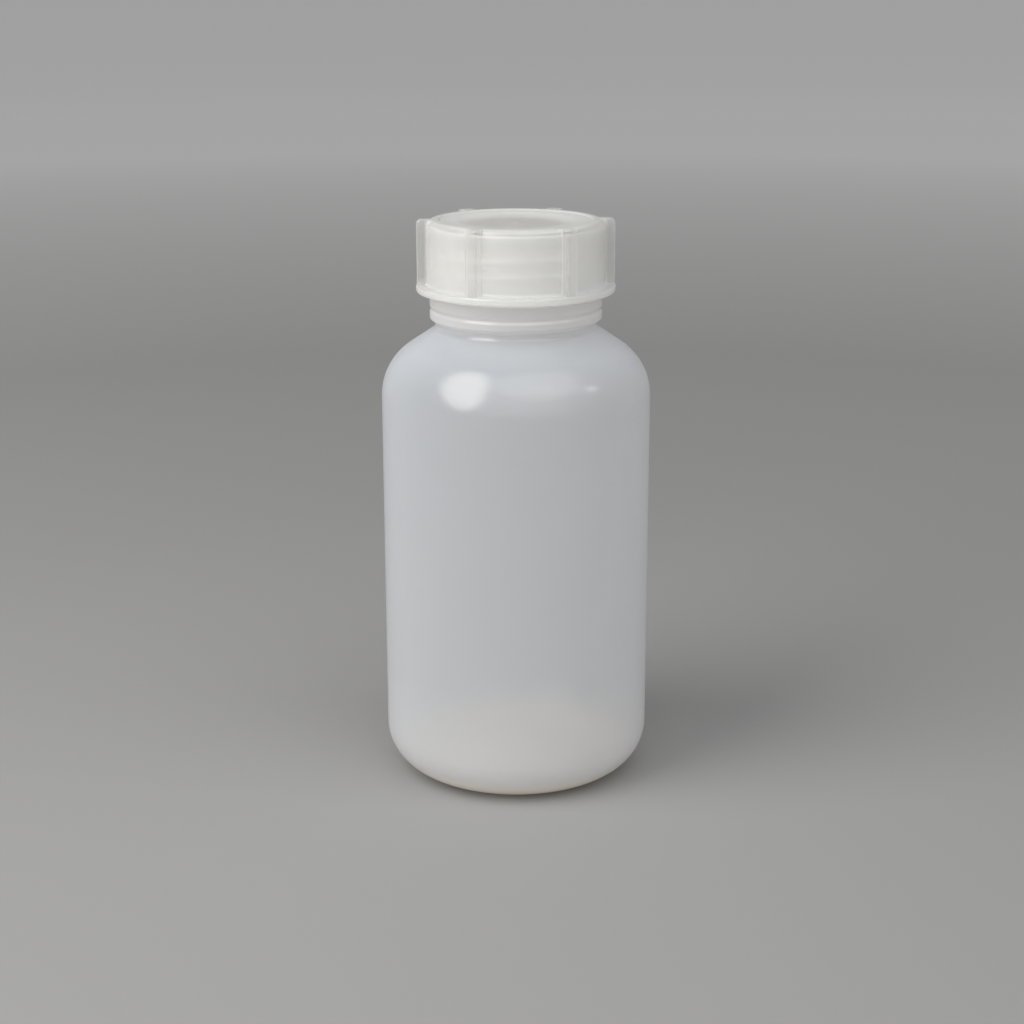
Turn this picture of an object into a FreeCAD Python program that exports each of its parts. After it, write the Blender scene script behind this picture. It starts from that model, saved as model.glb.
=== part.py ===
import FreeCAD, Part
import math
import os
import Sketcher
from FreeCAD import Placement, Rotation, Vector

# A round wide-mouth bottle of milky plastic, closed by a ribbed screw cap on a soft sealing ring.
# Millimetres and degrees. +Z is up, and the origin is the middle of the base, on the surface it stands on.
# The bottle is one blown piece and the cap is one moulded piece, each with its own half of the thread.

doc = FreeCAD.newDocument("wide_mouth_bottle")

SIZES = {
    # the blown body
    "body_diameter": 95.0,
    "wall": 1.3,
    "base_corner_radius": 17.0,
    "foot_width": 2.0,            # the flat ring that the bottle stands on
    "base_hollow": 2.6,           # how far the middle of the base is drawn up
    "side_top": 139.2,            # height at which the straight side ends
    "shoulder_radius": 21.0,
    "shoulder_slope": 34.0,       # degrees from level, above the rounded shoulder
    # the neck, with heights measured from where the shoulder meets it
    "neck_diameter": 56.6,
    "neck_length": 34.6,
    "neck_fillet": 1.0,
    "neck_wall": 1.7,
    "lip_rounding": 0.4,
    "collar_reach": 1.95,         # how far the collar stands out from the neck
    "collar_rise": 1.9,
    "collar_height": 10.0,
    "collar_chamfer_height": 1.7,
    "collar_rounding": 0.5,
    "collar_groove_height": 4.9,  # from the collar's lower edge to the middle of its groove
    "collar_groove_width": 2.2,
    "collar_groove_depth": 0.5,
    # the thread, which the neck and the cap share
    "thread_pitch": 5.5,
    "thread_depth": 1.2,
    "thread_root_width": 2.8,
    "thread_crest_width": 1.2,
    "thread_bite": 0.4,           # how deep a thread is rooted in its own wall
    "thread_side_gap": 0.4,       # play between a thread's crest and the other wall
    "thread_flank_gap": 0.35,     # play along the axis between threads that bear on each other
    "run_out_turns": 0.125,       # the part of a turn over which each end of a thread fades into its wall
    "run_out_step": 0.15,         # what is left of the thread's depth where it stops
    "run_out_bite": 0.1,          # how deep a fading end is rooted where it begins
    "neck_thread_start": 3.0,     # from the collar's top to the middle of the thread's first turn
    "neck_thread_end": 3.2,       # from the middle of its last turn to the lip
    "cap_thread_start": 5.6,      # from the cap's lower edge, before it is fitted to the neck thread
    "cap_thread_end": 4.9,        # from the middle of its last turn to the top of the space inside
    # the cap, with heights measured from its lower edge
    "cap_height": 25.0,
    "cap_wall": 1.2,
    "cap_top_wall": 1.6,
    "cap_edge_radius": 2.6,
    "flange_reach": 3.8,          # how far the lower flange stands out from the wall
    "flange_height": 2.7,
    "flange_rounding": 0.9,
    "flange_fillet": 1.0,
    "lead_in": 0.5,
    "rib_count": 6,
    "rib_width": 4.5,
    "rib_reach": 3.45,            # how far a rib stands out from the wall
    "rib_corner_radius": 0.8,
    "rib_top_radius": 1.5,
    "rim_width": 4.1,             # raised rim around the cap's top
    "rim_step": 0.5,
    "ledge_width": 5.9,           # level ring between the rim and the dish
    "dish_slope_width": 5.1,
    "dish_depth": 1.7,            # from the rim down to the floor of the dish
    "gate_diameter": 1.8,
    "gate_height": 0.3,
    # the sealing ring
    "seal_thickness": 1.0,
    "seal_overlap": 1.6,          # how far it reaches inside the mouth
    "seal_clearance": 0.5,        # from its outer edge to the cap's wall
}

sizes = doc.addObject("Spreadsheet::Sheet", "sizes")
for row, (name, value) in enumerate(SIZES.items(), start=1):
    sizes.set(f"A{row}", name)
    sizes.set(f"B{row}", str(value))
    sizes.setAlias(f"B{row}", name)
doc.recompute()


def size(name):
    """The formula that reads one size from the sheet."""
    return f"sizes.{name}"


def number(formula):
    """What a formula comes to with the sheet's present sizes."""
    return float(sizes.evalExpression(formula))


# Formulas for the places that more than one sub-part depends on.
SLOPE = "sizes.shoulder_slope * 1 deg"
BODY_R = "sizes.body_diameter / 2"
NECK_R = "sizes.neck_diameter / 2"
MOUTH_R = f"({NECK_R} - sizes.neck_wall)"
COLLAR_R = f"({NECK_R} + sizes.collar_reach)"
FOOT_R = f"({BODY_R} - sizes.base_corner_radius)"
SHOULDER_R = f"({BODY_R} - sizes.shoulder_radius)"
SHOULDER_END_R = f"({SHOULDER_R} + sizes.shoulder_radius * sin({SLOPE}))"
SHOULDER_END = f"(sizes.side_top + sizes.shoulder_radius * cos({SLOPE}))"
NECK_BASE = f"({SHOULDER_END} + ({SHOULDER_END_R} - {NECK_R}) * tan({SLOPE}))"
LIP = f"({NECK_BASE} + sizes.neck_length)"
COLLAR_BASE = f"({NECK_BASE} + sizes.collar_rise)"
COLLAR_TOP = f"({COLLAR_BASE} + sizes.collar_height)"
NECK_THREAD = f"({COLLAR_TOP} + sizes.neck_thread_start)"
NECK_TURNS = f"(({LIP} - sizes.neck_thread_end - {NECK_THREAD}) / sizes.thread_pitch)"
CAP_BORE_R = f"({NECK_R} + sizes.thread_depth + sizes.thread_side_gap)"
CAP_R = f"({CAP_BORE_R} + sizes.cap_wall)"
CAP_DEPTH = "(sizes.cap_height - sizes.rim_step - sizes.cap_top_wall)"
CAP_BASE = f"({LIP} + sizes.seal_thickness - {CAP_DEPTH})"
# The cap's thread bears on the neck's from below. FLANKS is how far apart their middles lie then: half of
# each thread's width, taken at any depth where both are, and the play.
FLANK_RUN = "((sizes.thread_root_width - sizes.thread_crest_width) / 2)"
FLANKS = (
    f"(sizes.thread_crest_width + {FLANK_RUN} * (1 - sizes.thread_side_gap / sizes.thread_depth)"
    " + sizes.thread_flank_gap)"
)
# The cap's thread follows the neck thread's helix, from the turn nearest to the start that is asked for.
CAP_TURN_FIT = (
    f"round(({CAP_BASE} + sizes.cap_thread_start - {NECK_THREAD} + {FLANKS}) / sizes.thread_pitch)"
)
CAP_THREAD = (
    f"({NECK_THREAD} - {FLANKS} + {CAP_TURN_FIT} * sizes.thread_pitch - {CAP_BASE})"
)
CAP_TURNS = f"(({CAP_DEPTH} - sizes.cap_thread_end - {CAP_THREAD}) / sizes.thread_pitch)"


def sketch_on(body, role, name, height=None):
    """A sketch on one of the body's own origin planes, lifted off it by a formula if one is given."""
    plane = next(f for f in body.Origin.OriginFeatures if f.Role == role)
    sketch = body.newObject("Sketcher::SketchObject", name)
    sketch.AttachmentSupport = [(plane, "")]
    sketch.MapMode = "FlatFace"
    if height:
        sketch.setExpression("AttachmentOffset.Base.z", height)
    return sketch


def arc_about(centre, start, end):
    """The short arc from start to end about a centre, and which of its ends comes first."""
    a = math.atan2(start.y - centre.y, start.x - centre.x)
    b = math.atan2(end.y - centre.y, end.x - centre.x)
    turn = (b - a + math.pi) % (2 * math.pi) - math.pi
    circle = Part.Circle(centre, Vector(0, 0, 1), (start - centre).Length)
    if turn > 0:
        return Part.ArcOfCircle(circle, a, a + turn), 1, 2
    return Part.ArcOfCircle(circle, b, b - turn), 2, 1


def draw(sketch, corners):
    """Draws a closed outline through corners given as formulas (x, y).

    A corner (x, y, centre, radius) is followed by an arc about that centre instead of a straight edge.
    """
    def point(x, y):
        return Vector(number(x), number(y), 0)

    def hold(kind, edge, end, formula, axis):
        if formula == "0":
            sketch.addConstraint(Sketcher.Constraint("PointOnObject", edge, end, axis))
            return
        held = sketch.addConstraint(Sketcher.Constraint(kind, -1, 1, edge, end, number(formula)))
        sketch.setExpression(f"Constraints[{held}]", formula)

    vertical_axis, horizontal_axis = -2, -1
    ends = []
    for here, there in zip(corners, corners[1:] + corners[:1]):
        start, end = point(*here[:2]), point(*there[:2])
        if len(here) == 2:
            edge = sketch.addGeometry(Part.LineSegment(start, end), False)
            ends.append((edge, 1, 2))
        else:
            arc, first, last = arc_about(point(*here[2]), start, end)
            edge = sketch.addGeometry(arc, False)
            ends.append((edge, first, last))
    for (edge, _, last), (following, first, _) in zip(ends, ends[1:] + ends[:1]):
        sketch.addConstraint(Sketcher.Constraint("Coincident", edge, last, following, first))
    for corner, (edge, first, _) in zip(corners, ends):
        hold("DistanceX", edge, first, corner[0], vertical_axis)
        hold("DistanceY", edge, first, corner[1], horizontal_axis)
        if len(corner) > 2:
            held = sketch.addConstraint(Sketcher.Constraint("Radius", edge, number(corner[3])))
            sketch.setExpression(f"Constraints[{held}]", corner[3])


def turned(body, kind, name, corners):
    """A Revolution or Groove of an outline in the XZ plane about the body's axis."""
    sketch = sketch_on(body, "XZ_Plane", name + "_outline")
    draw(sketch, corners)
    feature = body.newObject("PartDesign::" + kind, name)
    feature.Profile = (sketch, [""])
    feature.ReferenceAxis = (sketch, ["V_Axis"])
    feature.Angle = 360
    return feature


def thread_stretch(body, name, mode, wall, bite, height, inward, turned_by=None):
    """A right-hand helix of the thread's section, started in the XZ plane or at a number of turns from it."""
    out, back = ("-", "+") if inward else ("+", "-")
    root = f"({wall} {back} {bite})"
    crest = f"({wall} {out} sizes.thread_depth)"
    half_root = "sizes.thread_root_width / 2"
    half_crest = "sizes.thread_crest_width / 2"
    sketch = sketch_on(body, "XZ_Plane", name + "_outline")
    if turned_by:
        sketch.AttachmentOffset = Placement(Vector(), Rotation(Vector(0, 1, 0), 90))
        sketch.setExpression("AttachmentOffset.Rotation.Angle", f"mod({turned_by}; 1) * 360 deg")
    draw(sketch, [
        (root, f"{height} - {half_root}"),
        (wall, f"{height} - {half_root}"),
        (crest, f"{height} - {half_crest}"),
        (crest, f"{height} + {half_crest}"),
        (wall, f"{height} + {half_root}"),
        (root, f"{height} + {half_root}"),
    ])
    feature = body.newObject("PartDesign::AdditiveHelix", name)
    feature.Profile = (sketch, [""])
    feature.ReferenceAxis = (sketch, ["V_Axis"])
    feature.Mode = mode
    feature.LeftHanded = False
    return feature


def thread(body, name, wall, height, inward, turns):
    """A screw thread on a wall, outside it or inside it, whose two ends fade into the wall."""
    full = thread_stretch(body, name, "pitch-turns-angle", wall, size("thread_bite"), height, inward)
    full.setExpression("Pitch", size("thread_pitch"))
    full.setExpression("Turns", turns)
    top = f"({height} + {turns} * sizes.thread_pitch)"
    towards_wall = "" if inward else "-"
    for end, start_height, backwards, turned_by in (
            ("_start", height, True, None), ("_end", top, False, turns)):
        fade = thread_stretch(body, name + end, "height-turns-growth", wall, size("run_out_bite"),
                              start_height, inward, turned_by)
        fade.Reversed = backwards
        fade.setExpression("Height", "sizes.thread_pitch * sizes.run_out_turns")
        fade.setExpression("Turns", size("run_out_turns"))
        fade.setExpression(
            "Growth", f"{towards_wall}(sizes.thread_depth - sizes.run_out_step) / sizes.run_out_turns")


def make_bottle():
    """The blown body: an outer form, its collar, the space inside, and the neck's thread."""
    body = doc.addObject("PartDesign::Body", "bottle")
    corner, rise, side = size("base_corner_radius"), size("base_hollow"), size("side_top")
    wall, curve, fillet = size("wall"), size("shoulder_radius"), size("neck_fillet")
    foot = f"({FOOT_R} - sizes.foot_width)"
    base_sweep = f"(({foot} ^ 2 + {rise} ^ 2) / (2 * {rise}))"
    # a fillet between the sloping shoulder and the upright neck touches each this far from their meeting
    reach = f"({fillet} * tan((90 deg - {SLOPE}) / 2))"
    lip = size("lip_rounding")

    turned(body, "Revolution", "outer_form", [
        ("0", rise, ("0", f"{rise} - {base_sweep}"), base_sweep),
        (foot, "0"),
        (FOOT_R, "0", (FOOT_R, corner), corner),
        (BODY_R, corner),
        (BODY_R, side, (SHOULDER_R, side), curve),
        (SHOULDER_END_R, SHOULDER_END),
        (f"{NECK_R} + {reach} * cos({SLOPE})", f"{NECK_BASE} - {reach} * sin({SLOPE})",
         (f"{NECK_R} + {fillet}", f"{NECK_BASE} + {reach}"), fillet),
        (NECK_R, f"{NECK_BASE} + {reach}"),
        (NECK_R, f"{LIP} - {lip}", (f"{NECK_R} - {lip}", f"{LIP} - {lip}"), lip),
        (f"{NECK_R} - {lip}", LIP),
        ("0", LIP),
    ])

    groove_middle = f"({COLLAR_BASE} + sizes.collar_groove_height)"
    groove_half = "sizes.collar_groove_width / 2"
    groove_depth = size("collar_groove_depth")
    groove_sweep = f"((({groove_half}) ^ 2 + {groove_depth} ^ 2) / (2 * {groove_depth}))"
    edge = size("collar_rounding")
    buried = f"(({NECK_R} + {MOUTH_R}) / 2)"
    turned(body, "Revolution", "collar", [
        (buried, COLLAR_BASE),
        (NECK_R, COLLAR_BASE),
        (COLLAR_R, f"{COLLAR_BASE} + sizes.collar_chamfer_height"),
        (COLLAR_R, f"{groove_middle} - {groove_half}",
         (f"{COLLAR_R} - {groove_depth} + {groove_sweep}", groove_middle), groove_sweep),
        (COLLAR_R, f"{groove_middle} + {groove_half}"),
        (COLLAR_R, f"{COLLAR_TOP} - {edge}", (f"{COLLAR_R} - {edge}", f"{COLLAR_TOP} - {edge}"), edge),
        (f"{COLLAR_R} - {edge}", COLLAR_TOP),
        (buried, COLLAR_TOP),
    ])

    inner_curve = f"({curve} - {wall})"
    inner_end_r = f"({SHOULDER_R} + {inner_curve} * sin({SLOPE}))"
    inner_end = f"({side} + {inner_curve} * cos({SLOPE}))"
    inner_meet = f"({inner_end} + ({inner_end_r} - {MOUTH_R}) * tan({SLOPE}))"
    inner_fillet = f"({fillet} + {wall})"
    inner_reach = f"({inner_fillet} * tan((90 deg - {SLOPE}) / 2))"
    inner_corner = f"({corner} - {wall})"
    turned(body, "Groove", "inside", [
        ("0", f"{rise} + {wall}", ("0", f"{rise} + {wall} - {base_sweep}"), base_sweep),
        (foot, wall),
        (FOOT_R, wall, (FOOT_R, corner), inner_corner),
        (f"{BODY_R} - {wall}", corner),
        (f"{BODY_R} - {wall}", side, (SHOULDER_R, side), inner_curve),
        (inner_end_r, inner_end),
        (f"{MOUTH_R} + {inner_reach} * cos({SLOPE})", f"{inner_meet} - {inner_reach} * sin({SLOPE})",
         (f"{MOUTH_R} + {inner_fillet}", f"{inner_meet} + {inner_reach}"), inner_fillet),
        (MOUTH_R, f"{inner_meet} + {inner_reach}"),
        (MOUTH_R, f"{LIP} - {lip}", (f"{MOUTH_R} + {lip}", f"{LIP} - {lip}"), lip),
        (f"{MOUTH_R} + {lip}", LIP),
        (f"{MOUTH_R} + {lip}", f"{LIP} + {wall}"),
        ("0", f"{LIP} + {wall}"),
    ])
    thread(body, "neck_thread", NECK_R, NECK_THREAD, False, NECK_TURNS)
    return body


def make_cap():
    """The moulded cap: a turned form, six grip ribs, the space inside, and its thread."""
    body = doc.addObject("PartDesign::Body", "screw_cap")
    top, edge = size("cap_height"), size("cap_edge_radius")
    flange, rounding, fillet = size("flange_height"), size("flange_rounding"), size("flange_fillet")
    flange_r = f"({CAP_R} + sizes.flange_reach)"
    rim_r, gate_r = f"({CAP_R} - sizes.rim_width)", "sizes.gate_diameter / 2"
    dish_top_r = f"({rim_r} - sizes.rim_step - sizes.ledge_width)"
    dish_r = f"({dish_top_r} - sizes.dish_slope_width)"
    step_floor = "(sizes.cap_height - sizes.rim_step)"
    dish_floor = "(sizes.cap_height - sizes.dish_depth)"
    gate_top = f"({dish_floor} + sizes.gate_height)"

    turned(body, "Revolution", "turned_form", [
        ("0", "0"),
        (f"{flange_r} - {rounding}", "0", (f"{flange_r} - {rounding}", rounding), rounding),
        (flange_r, rounding),
        (flange_r, f"{flange} - {rounding}",
         (f"{flange_r} - {rounding}", f"{flange} - {rounding}"), rounding),
        (f"{flange_r} - {rounding}", flange),
        (f"{CAP_R} + {fillet}", flange, (f"{CAP_R} + {fillet}", f"{flange} + {fillet}"), fillet),
        (CAP_R, f"{flange} + {fillet}"),
        (CAP_R, f"{top} - {edge}", (f"{CAP_R} - {edge}", f"{top} - {edge}"), edge),
        (f"{CAP_R} - {edge}", top),
        (rim_r, top),
        (f"{rim_r} - sizes.rim_step", step_floor),
        (dish_top_r, step_floor),
        (dish_r, dish_floor),
        (gate_r, dish_floor),
        (gate_r, gate_top),
        ("0", gate_top),
    ])

    half, round_r = "sizes.rib_width / 2", size("rib_corner_radius")
    rib_r = f"({CAP_R} + sizes.rib_reach)"
    rib_root = f"({CAP_R} - {edge})"
    plan = sketch_on(body, "XY_Plane", "rib_outline", f"{flange} / 2")
    draw(plan, [
        (rib_root, f"-{half}"),
        (f"{rib_r} - {round_r}", f"-{half}",
         (f"{rib_r} - {round_r}", f"{round_r} - {half}"), round_r),
        (rib_r, f"{round_r} - {half}"),
        (rib_r, f"{half} - {round_r}",
         (f"{rib_r} - {round_r}", f"{half} - {round_r}"), round_r),
        (f"{rib_r} - {round_r}", half),
        (rib_root, half),
    ])
    rib = body.newObject("PartDesign::Pad", "rib")
    rib.Profile = (plan, [""])
    rib.setExpression("Length", f"{top} - {flange} / 2")
    ribs = body.newObject("PartDesign::PolarPattern", "ribs")
    ribs.Originals = [rib]
    ribs.Axis = (plan, ["N_Axis"])
    ribs.Angle = 360
    ribs.setExpression("Occurrences", size("rib_count"))
    body.Tip = ribs

    top_r = size("rib_top_radius")
    turned(body, "Groove", "rib_tops", [
        (f"{rib_r} - {top_r}", top, (f"{rib_r} - {top_r}", f"{top} - {top_r}"), top_r),
        (rib_r, f"{top} - {top_r}"),
        (f"{rib_r} + {top_r}", f"{top} - {top_r}"),
        (f"{rib_r} + {top_r}", f"{top} + {top_r}"),
        (f"{rib_r} - {top_r}", f"{top} + {top_r}"),
    ])

    lead = size("lead_in")
    turned(body, "Groove", "inside", [
        ("0", "-sizes.lead_in"),
        (f"{CAP_BORE_R} + 2 * {lead}", f"-{lead}"),
        (CAP_BORE_R, lead),
        (CAP_BORE_R, CAP_DEPTH),
        (dish_top_r, CAP_DEPTH),
        (dish_r, f"{dish_floor} - sizes.cap_top_wall"),
        ("0", f"{dish_floor} - sizes.cap_top_wall"),
    ])
    thread(body, "cap_thread", CAP_BORE_R, CAP_THREAD, True, CAP_TURNS)
    body.setExpression("Placement.Base.z", CAP_BASE)
    return body


def make_seal():
    """The soft flat ring that lies on the lip and is pressed there by the cap."""
    outer = doc.addObject("Part::Cylinder", "seal_blank")
    outer.setExpression("Radius", f"{CAP_BORE_R} - sizes.seal_clearance")
    outer.setExpression("Height", size("seal_thickness"))
    hole = doc.addObject("Part::Cylinder", "seal_hole")
    hole.setExpression("Radius", f"{MOUTH_R} - sizes.seal_overlap")
    hole.setExpression("Height", size("seal_thickness"))
    ring = doc.addObject("Part::Cut", "seal_ring")
    ring.Base, ring.Tool = outer, hole
    ring.setExpression("Placement.Base.z", LIP)
    return ring


parts = {"bottle": make_bottle(), "screw_cap": make_cap(), "seal_ring": make_seal()}
doc.recompute()

for item in doc.Objects:
    if "Invalid" in item.State or "Error" in item.State:
        raise RuntimeError(f"{item.Name} failed: {item.State}")
for name, item in parts.items():
    item.Label = name
    if item.Shape.isNull() or not item.Shape.isValid() or len(item.Shape.Solids) != 1:
        raise RuntimeError(f"{name} is not one valid solid")

os.makedirs("parts", exist_ok=True)
for name, item in parts.items():
    item.Shape.exportStep(f"parts/{name}.step")
    box = item.Shape.optimalBoundingBox()
    print(f"{name}: {item.Shape.Volume / 1000:.2f} cm3, z {box.ZMin:.2f} to {box.ZMax:.2f}, "
          f"across {box.XLength:.2f} by {box.YLength:.2f}")
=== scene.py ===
import math

import bpy
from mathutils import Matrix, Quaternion, Vector


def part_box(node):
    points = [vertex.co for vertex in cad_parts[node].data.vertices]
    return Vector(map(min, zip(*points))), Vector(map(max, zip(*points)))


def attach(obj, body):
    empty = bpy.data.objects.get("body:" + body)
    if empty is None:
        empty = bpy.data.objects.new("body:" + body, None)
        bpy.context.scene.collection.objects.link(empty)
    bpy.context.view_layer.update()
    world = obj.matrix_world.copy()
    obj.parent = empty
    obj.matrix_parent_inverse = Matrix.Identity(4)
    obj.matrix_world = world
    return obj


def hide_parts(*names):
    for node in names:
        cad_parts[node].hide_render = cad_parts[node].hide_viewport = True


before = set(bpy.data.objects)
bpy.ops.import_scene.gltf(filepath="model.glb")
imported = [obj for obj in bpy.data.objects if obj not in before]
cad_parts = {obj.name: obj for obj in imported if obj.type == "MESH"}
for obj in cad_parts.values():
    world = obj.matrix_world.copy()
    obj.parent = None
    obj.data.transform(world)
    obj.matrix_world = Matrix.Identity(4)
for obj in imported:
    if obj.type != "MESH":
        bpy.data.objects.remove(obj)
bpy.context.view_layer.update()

# A wide-mouth bottle of milky polyethylene with a ribbed screw cap, on grey paper in soft light.
# Outlines and depths of plastic are in millimetres, and everything else is in metres. +Z is up.

MM = 0.001

# Places taken from the parts in model.glb
BODY_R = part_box("bottle")[1].x / MM
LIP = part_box("bottle")[1].z / MM
CAP_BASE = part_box("screw_cap")[0].z / MM
CAP_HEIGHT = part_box("screw_cap")[1].z / MM - CAP_BASE
FLANGE_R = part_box("screw_cap")[1].x / MM

# The blown body
WALL = 1.3
BASE_CORNER = 17.0
FOOT_WIDTH = 2.0
BASE_HOLLOW = 2.6
SHOULDER = 21.0
SLOPE = math.radians(34.0)
SEAM_TURN = math.radians(8.0)     # where the line left between the mould's halves runs up the side
SEAM_HEIGHT = 0.06
SEAM_PROFILE = ((-0.35, 0.0), (-0.15, 0.75), (0.0, 1.0), (0.15, 0.75), (0.35, 0.0))
PINCH_HEIGHT = 0.35               # the ridge across the base where the mould closed
PINCH_HALF = 0.5
PINCH_REACH = 23.0                # it fades out over the last millimetre
FOOT_R = BODY_R - BASE_CORNER - FOOT_WIDTH
HOLLOW = [(FOOT_R * k, BASE_HOLLOW * (1 - k * k), 0)
          for k in (0, 0.015, 0.05, *(j / 8 for j in range(1, 8)))]

# The neck
NECK_R = 28.3
NECK_WALL = 1.7
MOUTH_R = NECK_R - NECK_WALL
NECK_LENGTH = 34.6
NECK_BASE = LIP - NECK_LENGTH
NECK_FILLET = 2.0
SHOULDER_TOP = NECK_BASE - 6.0    # the wall is thinnest from here up to the neck
SHOULDER_CORNER = NECK_BASE - (BODY_R - NECK_R) * math.tan(SLOPE)
LIP_ROUNDING = 0.4
COLLAR_R = NECK_R + 1.95
COLLAR_BASE = NECK_BASE + 1.9
COLLAR_TOP = COLLAR_BASE + 10.0
COLLAR_CHAMFER = 1.7
CHAMFER_ROUNDING = 0.3
COLLAR_ROUNDING = 0.5
COLLAR_FILLET = 0.15
GROOVE_MIDDLE = COLLAR_BASE + 4.9
GROOVE_HALF = 1.1
GROOVE_DEPTH = 0.5
GROOVE_ROUNDING = 0.2
GROOVE_FLOOR_HALF = 0.25
GROOVE_FILLET = 0.4

# The thread
PITCH = 5.5
THREAD_DEPTH = 1.2
ROOT_HALF = 1.4
CREST_HALF = 0.6
FLANK_STRAIGHT = 0.45             # a flank is this share of a straight line
FLANK_SOFT = 0.55                 # and this share of an S-curve
RUN_OUT = 0.125                   # turns in which each end fades out
SIDE_GAP = 0.4                    # between the crests of the neck's thread and the cap's wall
FLANK_GAP = 0.35                  # between the two threads
# The height from the middle of one thread to that of the other, where they bear
FLANKS = 2 * CREST_HALF + (ROOT_HALF - CREST_HALF) * (1 - SIDE_GAP / THREAD_DEPTH) + FLANK_GAP
NECK_THREAD = COLLAR_TOP + 3.0
NECK_THREAD_END = LIP - 3.2
NECK_TURNS = (NECK_THREAD_END - NECK_THREAD) / PITCH
THREAD_MARGIN = 0.2               # a wall has no thread this close to its lower end

# The cap, with heights from its lower edge
CAP_BORE_R = NECK_R + THREAD_DEPTH + SIDE_GAP
CAP_R = CAP_BORE_R + 1.2
CAP_TOP_WALL = 1.6
CAP_EDGE = 2.6
FLANGE_HEIGHT = 2.7
FLANGE_ROUNDING = 0.9
FLANGE_FILLET = 1.0
LEAD_IN = 0.5                     # the chamfer round the cap's mouth
RIBS = 6
RIB_HALF = 2.25
RIB_R = CAP_R + 3.45
RIB_CORNER = 0.8
RIB_TOP = 1.5
RIB_FILLET = 0.5
RIM_R = CAP_R - 4.1               # the inner edges of the rim and of the ledge below it
RIM_STEP = 0.5
RIM_ROUNDING = 0.25
LEDGE_R = RIM_R - RIM_STEP - 5.9
LEDGE_ROUNDING = 1.2
DISH_R = LEDGE_R - 5.1            # the flat floor of the dish
DISH_DEPTH = 1.7
DISH_FILLET = 3.0
DISH_FLOOR = CAP_HEIGHT - DISH_DEPTH
GATE_R = 0.9                      # the mark where plastic was let into the mould
GATE_HEIGHT = 0.3
GATE_ROUNDING = 0.15
GATE_FILLET = 0.1
CAP_DEPTH = CAP_HEIGHT - RIM_STEP - CAP_TOP_WALL
CAP_FILLET = 0.3
CAP_THREAD = NECK_THREAD - FLANKS + PITCH     # one turn up, it bears on the neck's thread from below
CAP_THREAD_END = CAP_BASE + CAP_DEPTH - 4.9
CAP_TURNS = (CAP_THREAD_END - CAP_THREAD) / PITCH

# Rows and columns of the meshes
ARC_DEPTH = 0.01              # how far an arc's chords lie inside it
ARC_STEP = math.radians(15)
ROUND = 240                   # columns around the bottle
SEAM_CLEARANCE = math.radians(0.6)    # even columns closer than this to a seam are left out
WALL_STEPS = 26               # columns between two ribs
NARROWING_R = 27.5            # inside this radius, columns beside an angle draw together
THREAD_ROWS = 0.2             # greatest distances between rows on a thread, a body and a skirt
BODY_ROWS = 7.0
SKIRT_ROWS = 3.0
SHARP_EDGE = math.radians(38)
NEAR = 0.001                  # places closer than this are the same

# Plastic
DEEPEST = 4.0                 # the deepest plastic that a ramp gives
THIN_DEPTH = 0.5              # plastic up to this depth has its thin tint
TINT_DEPTH = 1.2              # and this much deeper it has its deep tint
CLEAR_TINT = (0.99, 0.988, 0.98)
ON_EDGE = 0.02                # keeps the way through a wall that is seen on edge from growing endless
GLOSS_FACE_ON = 0.055
GLOSS_ON_EDGE = 0.45
GLOSS_GROWTH = 5.0            # the power by which the gloss grows towards the edge
GLOSS_UNEVENNESS = 0.08

# The paper's grey at distances from the bottle, as shares of PAPER_REACH: its own grey near the bottle,
# painted lighter farther away to stand in for how the light falls across the floor and the backdrop
PAPER_REACH = 3.0
PAPER = ((0.0, 0.35), (0.12, 0.34), (0.26, 0.37), (0.5, 0.62), (0.75, 0.86), (1.0, 0.95))

# A painted glow on the far paper, which only the camera, reflections and clear parts show
PAPER_GLOW = ((0.0, 0.0), (0.15, 0.005), (0.3, 0.02), (0.75, 0.058), (1.0, 0.045))

# The room's light: directions, and how strong it is around each
ROOM = (((0, -1, 0.4), 0.94), ((0, 1, 0.4), 0.27), ((1, 0, 0.4), 0.18))
ROOM_POWER = 2.0              # how narrow it is around them


# Outlines

def rounded(corners):
    """Points (radius, height) through corners (radius, height, rounding), with an arc at each rounded one."""
    points = []
    for i, (r, z, rounding) in enumerate(corners):
        here = Vector((r, z))
        if rounding == 0:
            points.append(here)
            continue
        before = (Vector(corners[i - 1][:2]) - here).normalized()
        after = (Vector(corners[i + 1][:2]) - here).normalized()
        half = before.angle(after) / 2
        centre = here + (before + after).normalized() * rounding / math.sin(half)
        start = here + before * rounding / math.tan(half)
        turn = (before.cross(after) > 0) * 2 - 1
        sweep = math.pi - 2 * half
        steps = math.ceil(sweep / min(ARC_STEP, 2 * math.acos(1 - min(1.0, ARC_DEPTH / rounding))))
        spoke = start - centre
        for k in range(steps + 1):
            angle = -turn * sweep * k / steps
            points.append(centre + Vector((
                spoke.x * math.cos(angle) - spoke.y * math.sin(angle),
                spoke.x * math.sin(angle) + spoke.y * math.cos(angle))))
    return points


def split_runs(points, low, high, longest):
    """The same points, with runs between two heights cut into pieces no longer than longest."""
    result = [points[0]]
    for a, b in zip(points, points[1:]):
        inside = low <= min(a.y, b.y) and max(a.y, b.y) <= high
        count = max(1, math.ceil((b - a).length / longest)) if inside else 1
        result += [a.lerp(b, k / count) for k in range(1, count + 1)]
    return result


# Meshes

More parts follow.
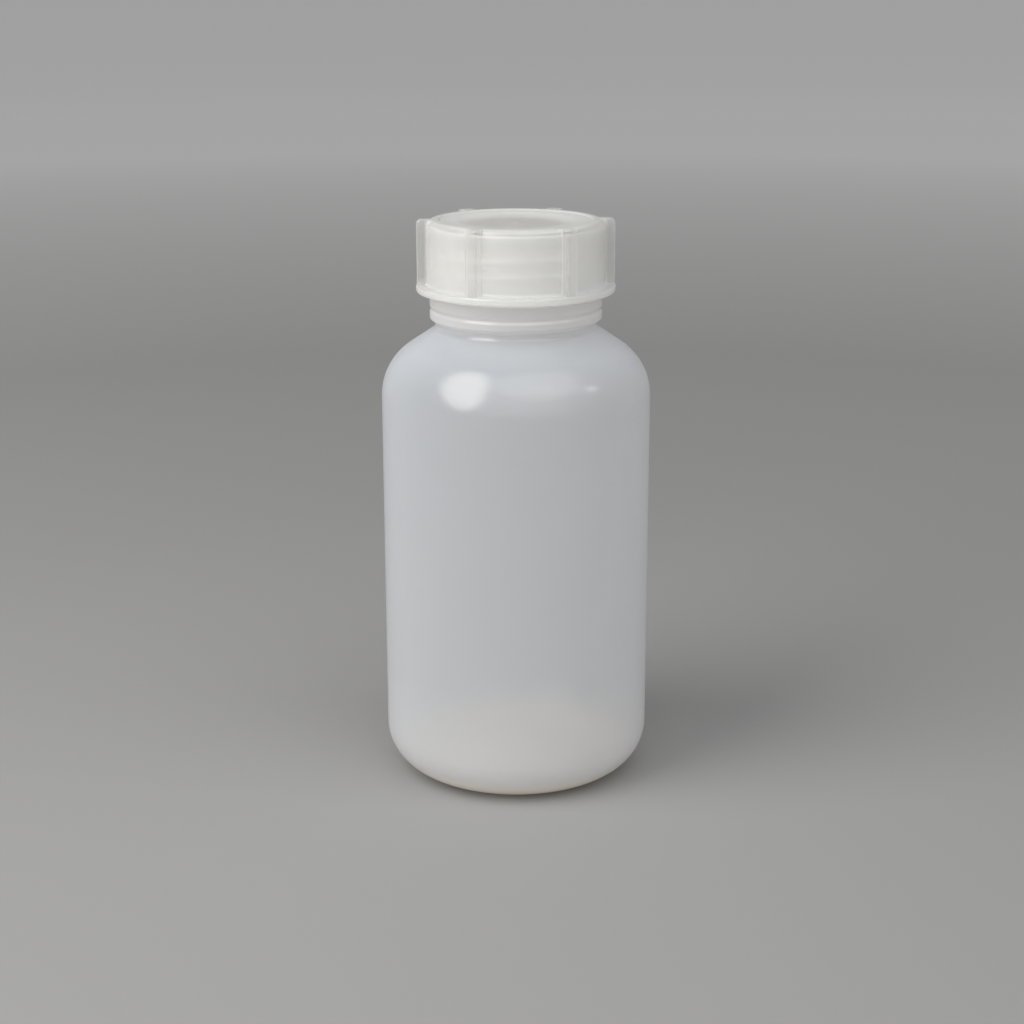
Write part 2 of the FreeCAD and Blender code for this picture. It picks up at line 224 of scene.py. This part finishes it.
def spun(name, rows, columns, place):
    """A closed mesh from rows of points around the axis. The first and the last row are one point each.

    place(i, row, column) gives a point, from the row's number and outline point and from a column.
    """
    count = len(columns)
    vertices = [place(0, rows[0], columns[0])]
    for i, row in enumerate(rows[1:-1], start=1):
        vertices += [place(i, row, column) for column in columns]
    vertices.append(place(len(rows) - 1, rows[-1], columns[0]))
    faces = [(0, 1 + (k + 1) % count, 1 + k) for k in range(count)]
    for i in range(len(rows) - 3):
        a, b = 1 + i * count, 1 + (i + 1) * count
        for k in range(count):
            n = (k + 1) % count
            faces.append((a + k, a + n, b + n, b + k))
    last, top = 1 + (len(rows) - 3) * count, len(vertices) - 1
    faces += [(last + k, last + (k + 1) % count, top) for k in range(count)]
    mesh = bpy.data.meshes.new(name)
    mesh.from_pydata([v * MM for v in vertices], [], faces)
    mesh.validate()
    mesh.shade_smooth()
    mesh.set_sharp_from_angle(angle=SHARP_EDGE)
    piece = bpy.data.objects.new(name, mesh)
    bpy.context.scene.collection.objects.link(piece)
    return piece


def thread_height(angle, z, start, turns):
    """How far a right-hand thread stands out of its wall at an angle and a height."""
    turn = angle / math.tau
    lap = round((z - start) / PITCH - turn)
    along = turn + lap
    beyond = max(-along, along - turns, 0.0) / RUN_OUT
    if beyond >= 1:
        return 0.0
    away = abs(z - start - PITCH * along)
    flank = min(1.0, max(0.0, (ROOT_HALF - away) / (ROOT_HALF - CREST_HALF)))
    soft = flank * flank * (3 - 2 * flank)
    height = THREAD_DEPTH * (FLANK_STRAIGHT * flank + FLANK_SOFT * soft)
    return max(0.0, height - THREAD_DEPTH * beyond)


def at_radius(r, z, angle, side):
    """The point at a radius and a height, at an angle and a distance to the side of it.

    The distance shrinks near the axis, where columns would cross otherwise.
    """
    turn = angle + math.asin(side / max(r, NARROWING_R))
    return Vector((r * math.cos(turn), r * math.sin(turn), z))


# Materials

def node(tree, kind, **values):
    """A new node, with values for its inputs and, where it has no input of a name, for its settings."""
    made = tree.nodes.new(kind)
    for key, value in values.items():
        if key in made.inputs:
            made.inputs[key].default_value = value
        else:
            setattr(made, key, value)
    return made


def ramp(tree, value, stops):
    """Grey levels along a value from 0 to 1, through (place, level) stops."""
    made = node(tree, "ShaderNodeValToRGB")
    elements = made.color_ramp.elements
    for element, (place, level) in ((elements[0], stops[0]), (elements[1], stops[-1])):
        element.position = place
        element.color = (level, level, level, 1)
    for place, level in stops[1:-1]:
        elements.new(place).color = (level, level, level, 1)
    tree.links.new(value, made.inputs["Fac"])
    return made.outputs["Color"]


def maths(tree, operation, *values):
    """One sum on sockets and numbers."""
    made = node(tree, "ShaderNodeMath", operation=operation)
    for slot, value in zip(made.inputs, values):
        if isinstance(value, (int, float)):
            slot.default_value = value
        else:
            tree.links.new(value, slot)
    return made.outputs["Value"]


def radius_and_height(tree):
    """How far from the axis and how high each point lies, in millimetres, and its place in metres."""
    where = node(tree, "ShaderNodeTexCoord").outputs["Object"]
    split = node(tree, "ShaderNodeSeparateXYZ")
    tree.links.new(where, split.inputs["Vector"])
    square = maths(tree, "MULTIPLY_ADD", split.outputs["X"], split.outputs["X"],
                   maths(tree, "MULTIPLY", split.outputs["Y"], split.outputs["Y"]))
    return (maths(tree, "DIVIDE", maths(tree, "SQRT", square), MM),
            maths(tree, "DIVIDE", split.outputs["Z"], MM), where)


def depth_ramp(tree, value, stops):
    """A value in millimetres turned into depths of plastic in millimetres, through (value, depth) stops."""
    low, high = stops[0][0], stops[-1][0]
    share = maths(tree, "DIVIDE", maths(tree, "SUBTRACT", value, low), high - low)
    levels = ramp(tree, share, [((v - low) / (high - low), depth / DEEPEST) for v, depth in stops])
    return maths(tree, "MULTIPLY", levels, DEEPEST)


def bottle_depth(tree, radius, height):
    """Depth of plastic behind each surface of the bottle: half the wall, and more at its base and neck."""
    body = depth_ramp(tree, height, [
        (0, 2.0), (5, 1.8), (8, 1.1), (BASE_CORNER, 0.85), (BASE_CORNER + 25, 0.7),
        (SHOULDER_TOP - 40, 0.62), (SHOULDER_TOP, 0.55), (NECK_BASE, 0.55),
        (NECK_BASE + 1.5, 0.75), (LIP, 0.75)])
    in_neck = maths(tree, "GREATER_THAN", height, NECK_BASE + 1)
    standing_out = depth_ramp(tree, radius, [(NECK_R, 0.0), (NECK_R + THREAD_DEPTH, 0.6), (COLLAR_R, 0.45)])
    return maths(tree, "MULTIPLY_ADD", in_neck, standing_out, body)


def cap_depth(tree, radius, height):
    """Depth of plastic behind each surface of the cap: half the wall, and more at rim, thread and flange, but
    less over the dish, so that it shows darker as painted shade on the recessed top.
    """
    # The dish is given less depth than its wall, so it lets more through and shows darker: painted shade on
    # the recessed top
    walls = depth_ramp(tree, radius, [
        (0, 0.27), (DISH_R, 0.27), (LEDGE_R, 0.7), (RIM_R, 0.9),
        (CAP_BORE_R, 0.6), (CAP_R, 0.6), (CAP_R + 1.0, 0.32), (FLANGE_R, 0.32)])
    below_top = maths(tree, "LESS_THAN", height, CAP_BASE + CAP_DEPTH - 2.0)
    thread = depth_ramp(tree, radius, [(CAP_BORE_R - THREAD_DEPTH, 1.1), (CAP_BORE_R, 0.0)])
    in_flange = maths(tree, "LESS_THAN", height, CAP_BASE + FLANGE_HEIGHT - 0.3)
    walls = maths(tree, "MULTIPLY_ADD", below_top, thread, walls)
    return maths(tree, "MULTIPLY_ADD", in_flange, 0.2, walls)


def milky_plastic(name, depth_of, thin, deep, through, roughness, clear, milk, grain_scale, grain):
    """Plastic that scatters light back and through itself, and lets a share of it pass straight through.

    The share left to pass is clear to the power of the depth of plastic, which is longer where a wall is
    seen on edge. Of the rest, less goes through and more comes back where the plastic is deep, by its milk
    per millimetre. The tints thin and deep are for what comes back, and through is for what goes through.
    The gloss lies over all of it, on a grain with a scale and a height.
    """
    material = bpy.data.materials.new(name)
    material.use_nodes = True
    tree = material.node_tree
    tree.nodes.clear()
    link = tree.links.new

    radius, height, where = radius_and_height(tree)
    depth = depth_of(tree, radius, height)
    fine = node(tree, "ShaderNodeTexNoise", Scale=grain_scale, Detail=3.0, Roughness=0.55)
    link(where, fine.inputs["Vector"])
    bump = node(tree, "ShaderNodeBump", Strength=0.1, Distance=grain)
    link(fine.outputs["Fac"], bump.inputs["Height"])
    tint = node(tree, "ShaderNodeMix", data_type="RGBA")
    share = maths(tree, "MULTIPLY_ADD", depth, 1 / TINT_DEPTH, -THIN_DEPTH / TINT_DEPTH)
    link(share, tint.inputs["Factor"])
    tint.inputs["A"].default_value = (*thin, 1.0)
    tint.inputs["B"].default_value = (*deep, 1.0)

    back = node(tree, "ShaderNodeBsdfPrincipled", Roughness=0.7)
    link(tint.outputs["Result"], back.inputs["Base Color"])
    back.inputs["Specular IOR Level"].default_value = 0.0
    link(bump.outputs["Normal"], back.inputs["Normal"])
    glow = node(tree, "ShaderNodeBsdfTranslucent", Color=(*through, 1.0))
    scatter = node(tree, "ShaderNodeMixShader")
    cloud = maths(tree, "MULTIPLY_ADD", depth, milk, 1.0)
    link(maths(tree, "DIVIDE", 1.0, cloud), scatter.inputs["Fac"])
    link(back.outputs["BSDF"], scatter.inputs[1])
    link(glow.outputs["BSDF"], scatter.inputs[2])

    facing = node(tree, "ShaderNodeLayerWeight", Blend=0.5).outputs["Facing"]
    way = maths(tree, "DIVIDE", depth, maths(tree, "SUBTRACT", 1 + ON_EDGE, facing))
    straight = node(tree, "ShaderNodeBsdfTransparent", Color=(*CLEAR_TINT, 1.0))
    inside = node(tree, "ShaderNodeMixShader")
    link(maths(tree, "POWER", clear, way), inside.inputs["Fac"])
    link(scatter.outputs["Shader"], inside.inputs[1])
    link(straight.outputs["BSDF"], inside.inputs[2])

    gloss = node(tree, "ShaderNodeBsdfGlossy")
    uneven = maths(tree, "MULTIPLY_ADD", fine.outputs["Fac"], GLOSS_UNEVENNESS,
                   roughness - GLOSS_UNEVENNESS / 2)
    link(uneven, gloss.inputs["Roughness"])
    link(bump.outputs["Normal"], gloss.inputs["Normal"])
    whole = node(tree, "ShaderNodeMixShader")
    edge = maths(tree, "POWER", facing, GLOSS_GROWTH)
    link(maths(tree, "MULTIPLY_ADD", edge, GLOSS_ON_EDGE, GLOSS_FACE_ON), whole.inputs["Fac"])
    link(inside.outputs["Shader"], whole.inputs[1])
    link(gloss.outputs["BSDF"], whole.inputs[2])
    output = node(tree, "ShaderNodeOutputMaterial")
    link(whole.outputs["Shader"], output.inputs["Surface"])
    return material


def foam():
    """The seal ring's soft white foam, with fine cells."""
    material = bpy.data.materials.new("seal_foam")
    material.use_nodes = True
    tree = material.node_tree
    surface = tree.nodes["Principled BSDF"]
    surface.inputs["Base Color"].default_value = (0.86, 0.86, 0.84, 1.0)
    surface.inputs["Roughness"].default_value = 0.8
    cells = node(tree, "ShaderNodeTexVoronoi", Scale=2600.0)
    where = node(tree, "ShaderNodeTexCoord")
    bump = node(tree, "ShaderNodeBump", Strength=0.4, Distance=0.0002)
    tree.links.new(where.outputs["Object"], cells.inputs["Vector"])
    tree.links.new(cells.outputs["Distance"], bump.inputs["Height"])
    tree.links.new(bump.outputs["Normal"], surface.inputs["Normal"])
    return material


# Pieces

def bottle_outside():
    """The bottle's outer form, from the middle of the base up to the lip."""
    points = rounded(HOLLOW + [
        (FOOT_R, 0, 0),
        (BODY_R, 0, BASE_CORNER),
        (BODY_R, SHOULDER_CORNER, SHOULDER),
        (NECK_R, NECK_BASE, NECK_FILLET),
        (NECK_R, COLLAR_BASE, COLLAR_FILLET),
        (COLLAR_R, COLLAR_BASE + COLLAR_CHAMFER, CHAMFER_ROUNDING),
        (COLLAR_R, GROOVE_MIDDLE - GROOVE_HALF, GROOVE_ROUNDING),
        (COLLAR_R - GROOVE_DEPTH, GROOVE_MIDDLE - GROOVE_FLOOR_HALF, GROOVE_FILLET),
        (COLLAR_R - GROOVE_DEPTH, GROOVE_MIDDLE + GROOVE_FLOOR_HALF, GROOVE_FILLET),
        (COLLAR_R, GROOVE_MIDDLE + GROOVE_HALF, GROOVE_ROUNDING),
        (COLLAR_R, COLLAR_TOP, COLLAR_ROUNDING),
        (NECK_R, COLLAR_TOP, COLLAR_FILLET),
        (NECK_R, LIP, LIP_ROUNDING),
        (MOUTH_R, LIP, 0),
    ])[:-1]
    points = split_runs(points, COLLAR_TOP, LIP, THREAD_ROWS)
    return split_runs(points, BASE_CORNER - NEAR, SHOULDER_CORNER, BODY_ROWS)


def bottle_inside():
    """The bottle's inside at the wall's distance from its outer form, from the lip down to the base."""
    inner_r = BODY_R - WALL
    slope_drop = WALL / math.cos(SLOPE)
    inner_neck = NECK_BASE + NECK_WALL * math.tan(SLOPE) - slope_drop
    inner_corner = SHOULDER_CORNER + WALL * math.tan(SLOPE) - slope_drop
    points = rounded([
        (NECK_R, LIP, 0),
        (MOUTH_R, LIP, LIP_ROUNDING),
        (MOUTH_R, inner_neck, NECK_FILLET + WALL),
        (inner_r, inner_corner, SHOULDER - WALL),
        (inner_r, WALL, BASE_CORNER - WALL),
        (FOOT_R, WALL, 0),
    ] + [(r, z + WALL, 0) for r, z, _ in reversed(HOLLOW)])[1:]
    return split_runs(points, BASE_CORNER - NEAR, SHOULDER_CORNER, BODY_ROWS)


def bottle_columns():
    """Columns around the bottle, each an angle, a distance to its side, and the seam's height there."""
    seams = [(SEAM_TURN + half, side, ridge) for half in (0.0, math.pi) for side, ridge in SEAM_PROFILE]
    angles = [math.tau * k / ROUND for k in range(ROUND)]
    even = [(a, 0.0, 0.0) for a in angles if abs(math.remainder(a - SEAM_TURN, math.pi)) > SEAM_CLEARANCE]
    return sorted(even + seams, key=lambda c: c[0] + c[1] / BODY_R)


def make_bottle():
    """The bottle, with the thread on its neck, the mould's seams up its sides and the pinch on its base."""
    outside = bottle_outside()
    rows = outside + bottle_inside()

    def place(i, row, column):
        r, z = row
        angle, side, ridge = column
        if i >= len(outside):
            return at_radius(r, z, angle, side)
        if COLLAR_TOP + THREAD_MARGIN < z < LIP - LIP_ROUNDING:
            turn = angle + math.asin(side / r)
            r += thread_height(turn % math.tau, z, NECK_THREAD, NECK_TURNS)
        elif r < FOOT_R and z <= BASE_HOLLOW:
            away = abs(r * math.sin(angle - SEAM_TURN)) / PINCH_HALF
            z -= PINCH_HEIGHT * max(0.0, 1 - away ** 2) * min(1.0, max(0.0, PINCH_REACH - r))
        elif 0 < i < len(outside) - 1:
            run = (rows[i + 1] - rows[i - 1]).normalized()
            r, z = r + run.y * ridge * SEAM_HEIGHT, max(0.0, z - run.x * ridge * SEAM_HEIGHT)
        return at_radius(r, z, angle, side)

    piece = spun("bottle_body", rows, bottle_columns(), place)
    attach(piece, "bottle")
    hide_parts("bottle")
    return piece


def cap_columns():
    """Columns around the cap, each an angle, a distance to its side, and what it belongs to."""
    columns = []
    tip = [0.0, 0.75, RIB_HALF - RIB_CORNER]
    tip += [RIB_HALF - RIB_CORNER * (1 - math.sin(math.radians(a))) for a in (30, 60, 80)]
    tip.append(RIB_HALF)
    sides = [-s for s in reversed(tip[1:])] + tip
    root = [RIB_HALF + RIB_FILLET * f for f in (0.0, 0.12, 0.4, 0.89)]
    edge = math.asin((RIB_HALF + RIB_FILLET) / CAP_R)
    gap = math.tau / RIBS - 2 * edge
    for k in range(RIBS):
        middle = math.tau * k / RIBS
        columns += [(middle, -s, "root") for s in reversed(root)]
        columns += [(middle, s, "rib") for s in sides]
        columns += [(middle, s, "root") for s in root]
        columns += [(middle + edge + gap * (j + 0.5) / WALL_STEPS, 0.0, "wall") for j in range(WALL_STEPS)]
    return columns


def cap_outside():
    """The cap's outside, from the middle of the top down to the flange, with heights from its lower edge."""
    step_floor = CAP_HEIGHT - RIM_STEP
    points = rounded([
        (0, DISH_FLOOR + GATE_HEIGHT, 0),
        (GATE_R, DISH_FLOOR + GATE_HEIGHT, GATE_ROUNDING),
        (GATE_R, DISH_FLOOR, GATE_FILLET),
        (DISH_R, DISH_FLOOR, DISH_FILLET),
        (LEDGE_R, step_floor, LEDGE_ROUNDING),
        (RIM_R - RIM_STEP, step_floor, RIM_ROUNDING),
        (RIM_R, CAP_HEIGHT, RIM_ROUNDING),
        (CAP_R, CAP_HEIGHT, CAP_EDGE),
        (CAP_R, FLANGE_HEIGHT, FLANGE_FILLET),
        (FLANGE_R, FLANGE_HEIGHT, FLANGE_ROUNDING),
        (FLANGE_R, 0, FLANGE_ROUNDING),
        (CAP_BORE_R + LEAD_IN, 0, 0),
    ])
    return split_runs(points, FLANGE_HEIGHT, CAP_HEIGHT - CAP_EDGE + NEAR, SKIRT_ROWS)


def cap_inside():
    """The cap's inside, from its lower edge up to the middle of the top."""
    points = rounded([
        (CAP_BORE_R + LEAD_IN, 0, 0),
        (CAP_BORE_R, LEAD_IN, 0),
        (CAP_BORE_R, CAP_DEPTH, CAP_FILLET),
        (LEDGE_R, CAP_DEPTH, LEDGE_ROUNDING),
        (DISH_R, DISH_FLOOR - CAP_TOP_WALL, DISH_FILLET),
        (0, DISH_FLOOR - CAP_TOP_WALL, 0),
    ])[1:]
    return split_runs(points, LEAD_IN, CAP_DEPTH, THREAD_ROWS)


def rib_reach(z):
    """How far out a rib reaches at a height, with its rounded top."""
    over = max(0.0, z - (CAP_HEIGHT - RIB_TOP))
    return RIB_R - RIB_TOP + math.sqrt(max(0.0, RIB_TOP ** 2 - over ** 2))


def make_cap():
    """The cap, with the thread inside it and the ribs and their fillets on its wall."""
    inside = cap_inside()
    rows = list(reversed(cap_outside() + inside))

    def place(i, row, column):
        r, z = row
        angle, side, part = column
        if i < len(inside):
            if abs(r - CAP_BORE_R) < NEAR and LEAD_IN + THREAD_MARGIN < z:
                turn = angle + math.asin(side / r)
                r -= thread_height(turn % math.tau, z + CAP_BASE, CAP_THREAD, CAP_TURNS)
            return at_radius(r, z + CAP_BASE, angle, side)
        on_wall = r > CAP_R - CAP_EDGE - NEAR and FLANGE_HEIGHT - FLANGE_ROUNDING <= z
        if part == "rib" and on_wall:
            over = max(0.0, abs(side) - (RIB_HALF - RIB_CORNER))
            inset = RIB_CORNER - math.sqrt(max(0.0, RIB_CORNER ** 2 - over ** 2))
            ahead = max(math.sqrt(r ** 2 - side ** 2), rib_reach(z) - inset)
            x = ahead * math.cos(angle) - side * math.sin(angle)
            y = ahead * math.sin(angle) + side * math.cos(angle)
            return Vector((x, y, z + CAP_BASE))
        if part == "root" and on_wall and r < CAP_R + RIB_FILLET:
            over = RIB_HALF + RIB_FILLET - abs(side)
            r += RIB_FILLET - math.sqrt(max(0.0, RIB_FILLET ** 2 - over ** 2))
        return at_radius(r, z + CAP_BASE, angle, side)

    piece = spun("cap_shell", rows, cap_columns(), place)
    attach(piece, "cap")
    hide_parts("screw_cap")
    return piece


# Floor, light and camera

def grey_paper():
    """Matt paper, its grey painted lighter far away from the bottle for how the light falls there, with a
    painted glow far off that only the camera, reflections and clear parts see.
    """
    material = bpy.data.materials.new("paper")
    material.use_nodes = True
    tree = material.node_tree
    link = tree.links.new
    surface = tree.nodes["Principled BSDF"]
    surface.inputs["Roughness"].default_value = 0.9
    surface.inputs["Specular IOR Level"].default_value = 0.1
    where = node(tree, "ShaderNodeTexCoord")
    length = node(tree, "ShaderNodeVectorMath", operation="LENGTH")
    link(where.outputs["Object"], length.inputs[0])
    far = maths(tree, "DIVIDE", length.outputs["Value"], PAPER_REACH)
    # Painted light: the grey grows lighter with distance, standing in for how the light falls across the
    # floor and the backdrop
    link(ramp(tree, far, PAPER), surface.inputs["Base Color"])
    # A painted glow on the far paper, for camera, glossy and transmission rays only
    rays = node(tree, "ShaderNodeLightPath").outputs
    seen = maths(tree, "ADD", maths(tree, "ADD", rays["Is Camera Ray"], rays["Is Glossy Ray"]),
                 rays["Is Transmission Ray"])
    seen = maths(tree, "MINIMUM", seen, 1.0)
    surface.inputs["Emission Color"].default_value = (1, 1, 1, 1)
    link(maths(tree, "MULTIPLY", seen, ramp(tree, far, PAPER_GLOW)), surface.inputs["Emission Strength"])
    return material


def make_stage():
    """A wide disc of paper under the bottle."""
    mesh = bpy.data.meshes.new("paper")
    reach, count = 30.0, 96
    rim = [(reach * math.cos(math.tau * k / count), reach * math.sin(math.tau * k / count), 0.0)
           for k in range(count)]
    mesh.from_pydata(rim, [], [tuple(range(count))])
    paper = bpy.data.objects.new("paper", mesh)
    bpy.context.scene.collection.objects.link(paper)
    paper.data.materials.append(grey_paper())


def softbox(name, azimuth, elevation, distance, width, height, power, colour=(1, 1, 1), lean=0):
    """An oval lamp facing the bottle, at an azimuth to the right of the front and an elevation in degrees.

    It leans by an angle to the right as the bottle sees it.
    """
    light = bpy.data.lights.new(name, "AREA")
    light.shape = "ELLIPSE"
    light.size, light.size_y = width, height
    light.energy = power
    light.color = colour
    lamp = bpy.data.objects.new(name, light)
    a, e = math.radians(azimuth), math.radians(elevation)
    aim = Vector((0, 0, 0.12))
    outward = Vector((math.sin(a) * math.cos(e), -math.cos(a) * math.cos(e), math.sin(e)))
    lamp.location = aim + distance * outward
    facing = (aim - lamp.location).to_track_quat("-Z", "Y")
    lamp.rotation_euler = (facing @ Quaternion((0, 0, 1), math.radians(lean))).to_euler()
    bpy.context.scene.collection.objects.link(lamp)


def make_light():
    """A large lamp from the left, two weaker ones from the right, and a room lighter on some sides."""
    softbox("key", azimuth=-58, elevation=40, distance=1.1, width=0.72, height=1.5, power=10.9,
            colour=(1.0, 0.985, 0.96), lean=22)
    softbox("fill", azimuth=25, elevation=57, distance=1.3, width=1.5, height=1.3, power=5.4)
    softbox("spot", azimuth=72, elevation=32, distance=1.1, width=0.06, height=0.06, power=0.3)
    world = bpy.data.worlds.new("room")
    bpy.context.scene.world = world
    world.use_nodes = True
    tree = world.node_tree
    tree.nodes.clear()
    direction = node(tree, "ShaderNodeTexCoord").outputs["Generated"]
    level = 0.0
    for towards, strength in ROOM:
        facing = node(tree, "ShaderNodeVectorMath", operation="DOT_PRODUCT")
        tree.links.new(direction, facing.inputs[0])
        facing.inputs[1].default_value = Vector(towards).normalized()
        lobe = maths(tree, "POWER", maths(tree, "MAXIMUM", facing.outputs["Value"], 0.0), ROOM_POWER)
        level = maths(tree, "MULTIPLY_ADD", lobe, strength, level)
    light = node(tree, "ShaderNodeBackground", Color=(1, 1, 1, 1))
    tree.links.new(level, light.inputs["Strength"])
    output = node(tree, "ShaderNodeOutputWorld")
    tree.links.new(light.outputs["Background"], output.inputs["Surface"])


def make_camera():
    """The photograph's view: where the camera stands, and how it is tilted down, rolled and turned."""
    data = bpy.data.cameras.new("camera")
    data.sensor_width = 36.0
    data.lens = 70.18
    camera = bpy.data.objects.new("camera", data)
    side, away, height = math.radians(-93.75), 0.6931, 0.2920
    tilt, roll, turn = 15.839, 0.10, -3.655
    camera.location = (away * math.cos(side), away * math.sin(side), height)
    camera.rotation_euler = (math.radians(90 - tilt), math.radians(roll), math.radians(turn))
    bpy.context.scene.collection.objects.link(camera)
    bpy.context.scene.camera = camera


bottle = make_bottle()
bottle.data.materials.append(milky_plastic(
    "bottle_plastic", bottle_depth, thin=(0.805, 0.88, 0.99), deep=(1.0, 0.94, 0.865),
    through=(1.0, 0.96, 0.91), roughness=0.21, clear=0.54, milk=1.8, grain_scale=160.0, grain=0.00003))
cap = make_cap()
cap.data.materials.append(milky_plastic(
    "cap_plastic", cap_depth, thin=(0.99, 1.0, 1.0), deep=(1.0, 1.0, 0.985),
    through=(1.0, 0.995, 0.975), roughness=0.30, clear=0.25, milk=1.1, grain_scale=300.0, grain=0.00005))
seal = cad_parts["seal_ring"]
seal.data.materials.clear()
seal.data.materials.append(foam())
make_stage()
make_light()
make_camera()

bpy.context.scene.view_settings.view_transform = "Standard"
# Light passes many walls and threads of milky plastic on its way
bpy.context.scene.cycles.max_bounces = 32
bpy.context.scene.cycles.diffuse_bounces = 20
bpy.context.scene.cycles.transparent_max_bounces = 32
